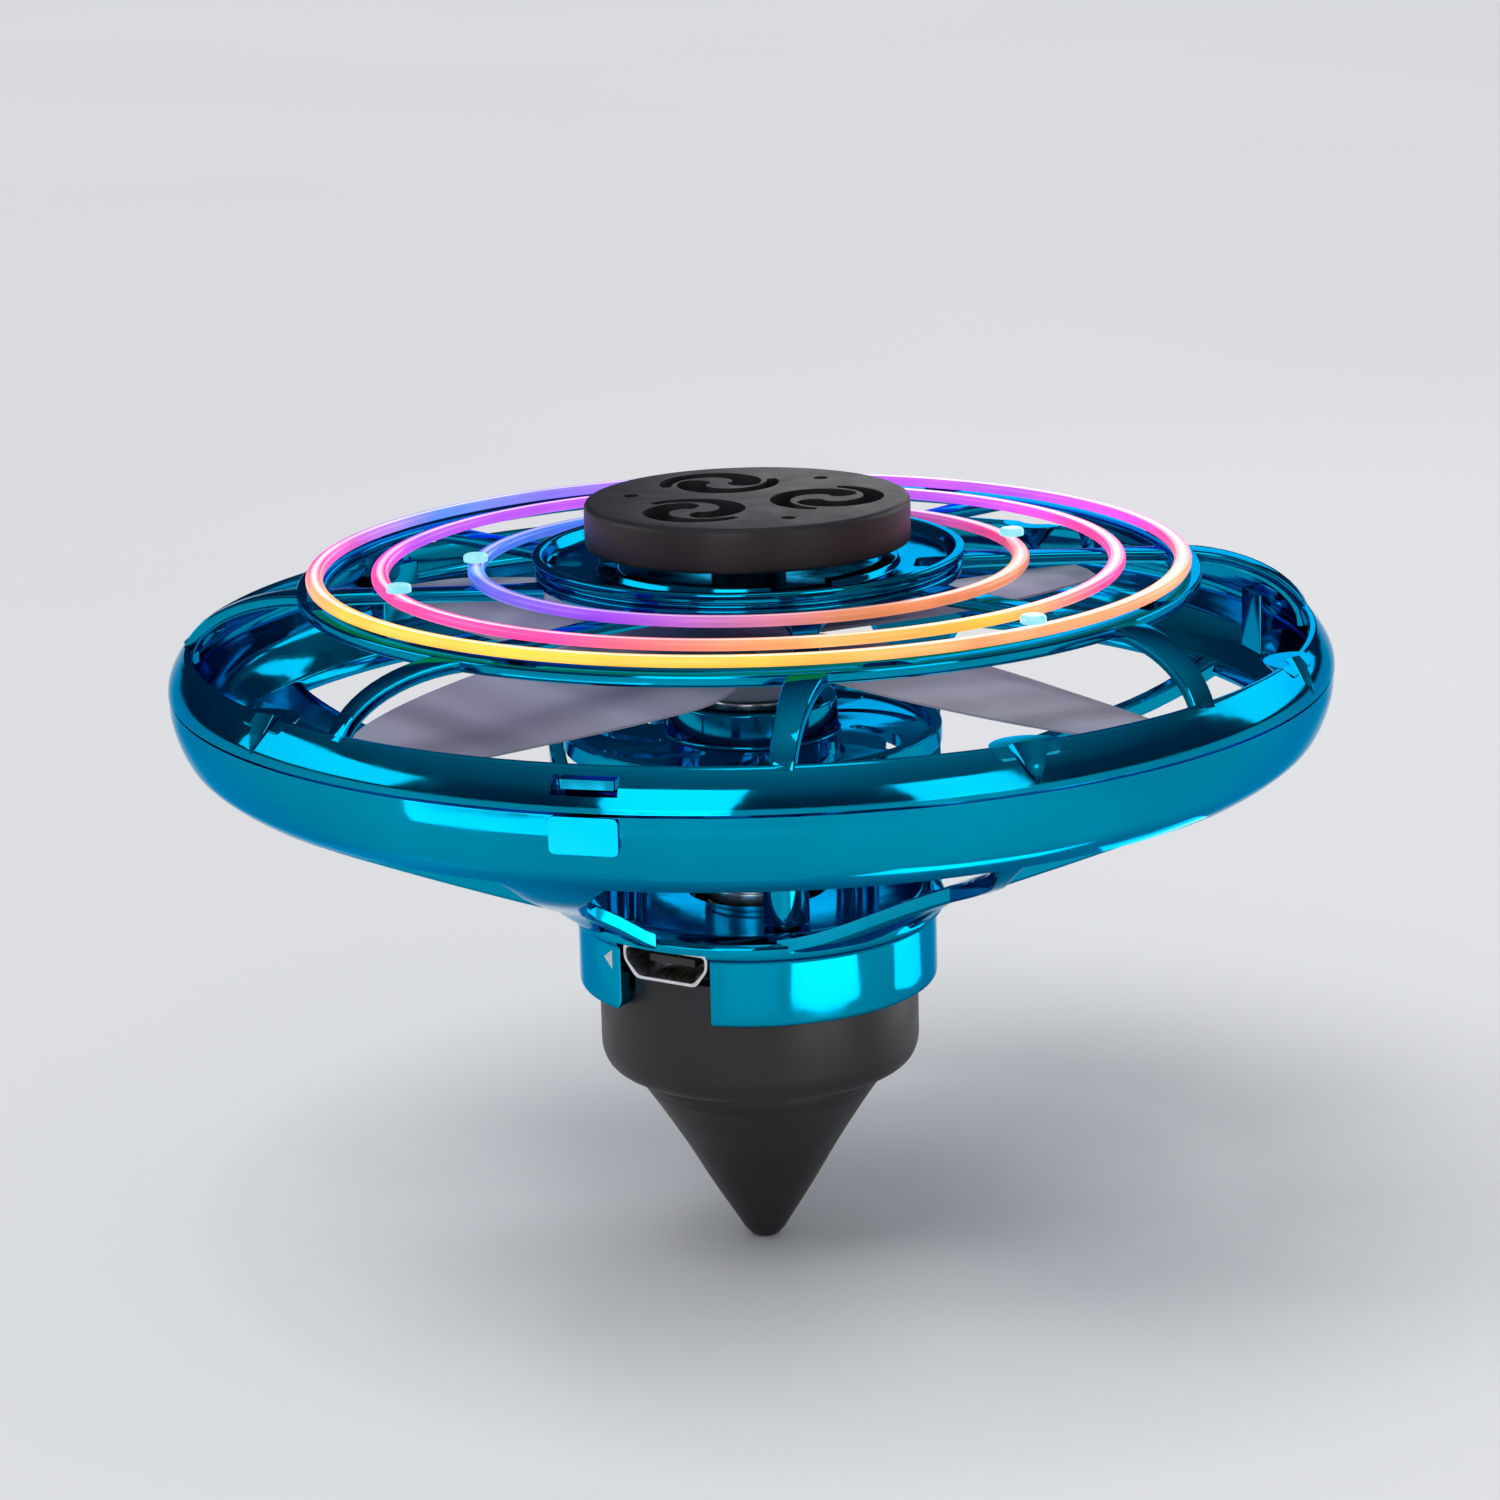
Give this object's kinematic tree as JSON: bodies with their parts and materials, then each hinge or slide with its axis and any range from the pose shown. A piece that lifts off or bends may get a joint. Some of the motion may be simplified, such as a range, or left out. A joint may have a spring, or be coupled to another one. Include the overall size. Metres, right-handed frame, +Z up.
{
  "type": "light up spinning top",
  "caption": "Spinning top with a caged propeller: round guard with curved arms, finger cap on top, hub with a charging port, and a cone tip below.",
  "frame": {"origin": "point of the cone tip, at the centre of the object's lowest plane", "axes": "+Z up along the spin axis, -Y the front, with the charging port just left of it"},
  "size_m": [0.095, 0.095, 0.0635],
  "materials": {
    "chrome_blue": "blue vacuum-metallised mirror finish on ABS",
    "black_plastic": "satin moulded black",
    "blade_grey": "pale grey satin",
    "steel": "bright",
    "port_black": "moulded black",
    "board": "green solder mask",
    "battery_wrap": "foil pouch",
    "rubber": "matt",
    "brass": "turned",
    "nylon": "natural nylon",
    "wire_red": "PVC insulation",
    "wire_black": "PVC insulation",
    "light_outer": "lit translucent light guide",
    "light_middle": "lit translucent light guide",
    "light_inner": "lit translucent light guide",
    "led": "lit clear lens"
  },
  "bodies": {
    "main_body": {"upper_guard": "chrome_blue", "lower_guard": "chrome_blue", "motor_deck": "chrome_blue", "cap_bush": "black_plastic", "base_cover": "black_plastic", "motor_can": "steel", "usb_shell": "steel", "deck_screw_1": "steel", "deck_screw_2": "steel", "deck_screw_3": "steel", "base_screw_1": "steel", "base_screw_2": "steel", "base_screw_3": "steel", "usb_tongue": "port_black", "switch_body": "port_black", "control_chip": "port_black", "main_board": "board", "battery": "battery_wrap", "motor_sleeve": "rubber", "tip_bush": "brass", "motor_end_cap": "nylon", "motor_wire_red": "wire_red", "battery_wire_red": "wire_red", "motor_wire_black": "wire_black", "battery_wire_black": "wire_black", "light_ring_outer": "light_outer", "light_ring_middle": "light_middle", "light_ring_inner": "light_inner", "led_1": "led", "led_2": "led", "led_3": "led", "led_4": "led"},
    "finger_cap": {"finger_cap": "black_plastic", "cap_stem": "steel", "cap_retainer": "steel"},
    "propeller": {"propeller": "blade_grey", "motor_shaft": "steel"},
    "cone_tip": {"spinning_tip": "black_plastic", "tip_spindle": "steel"},
    "switch": {"switch_slider": "black_plastic"}
  },
  "joints": [
    {"name": "cap_spin", "type": "hinge", "parent": "main_body", "child": "finger_cap", "pos_m": [0, 0, 0.061], "axis": [0, 0, 1], "continuous": true},
    {"name": "propeller_spin", "type": "hinge", "parent": "main_body", "child": "propeller", "pos_m": [0, 0, 0.0503], "axis": [0, 0, 1], "continuous": true},
    {"name": "tip_spin", "type": "hinge", "parent": "main_body", "child": "cone_tip", "pos_m": [0, 0, 0.0152], "axis": [0, 0, 1], "continuous": true},
    {"name": "switch_slide", "type": "slide", "parent": "main_body", "child": "switch", "axis": [-0.9781, -0.2079, 0], "range_m": [0, 0.0018]}
  ]
}
